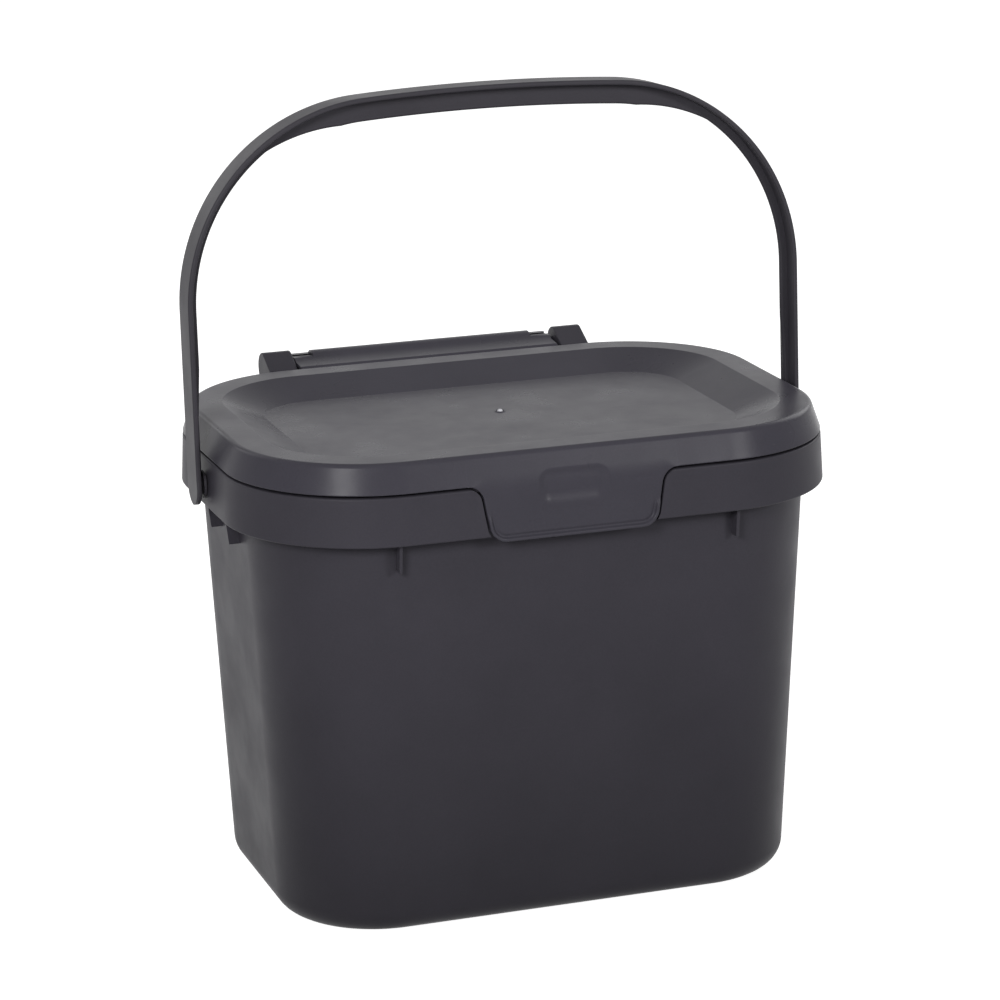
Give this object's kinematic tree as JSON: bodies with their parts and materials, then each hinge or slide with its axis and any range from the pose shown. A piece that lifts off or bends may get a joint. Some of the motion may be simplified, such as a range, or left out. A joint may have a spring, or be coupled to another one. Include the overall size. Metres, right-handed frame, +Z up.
{
  "type": "compost caddy with hinged lid",
  "caption": "Small lidded kitchen caddy for food scraps: tapered tub with a hollow rim, rear-hinged lid with a front lifting tab, and a swinging bail handle.",
  "frame": {"origin": "centre of the base, midway across the width and on the middle of the tub's depth, on the surface that it stands on", "axes": "+X across to the right seen from the front, +Y to the back where the hinge is, +Z up; the front with the lifting tab faces -Y"},
  "size_m": [0.2544, 0.1947, 0.319],
  "materials": {
    "tub_plastic": "fine satin, charcoal grey",
    "lid_plastic": "satin, charcoal grey",
    "handle_plastic": "satin, charcoal grey"
  },
  "bodies": {
    "tub": {"tub": "tub_plastic"},
    "lid": {"lid": "lid_plastic"},
    "handle": {"handle": "handle_plastic"}
  },
  "joints": [
    {"name": "lid_hinge", "type": "hinge", "parent": "tub", "child": "lid", "pos_m": [0, 0.1, 0.1897], "axis": [-1, 0, 0], "range_deg": [0, 28]},
    {"name": "handle_swing", "type": "hinge", "parent": "tub", "child": "handle", "pos_m": [0, 0, 0.17], "axis": [1, 0, 0], "range_deg": [-142, 147]}
  ]
}
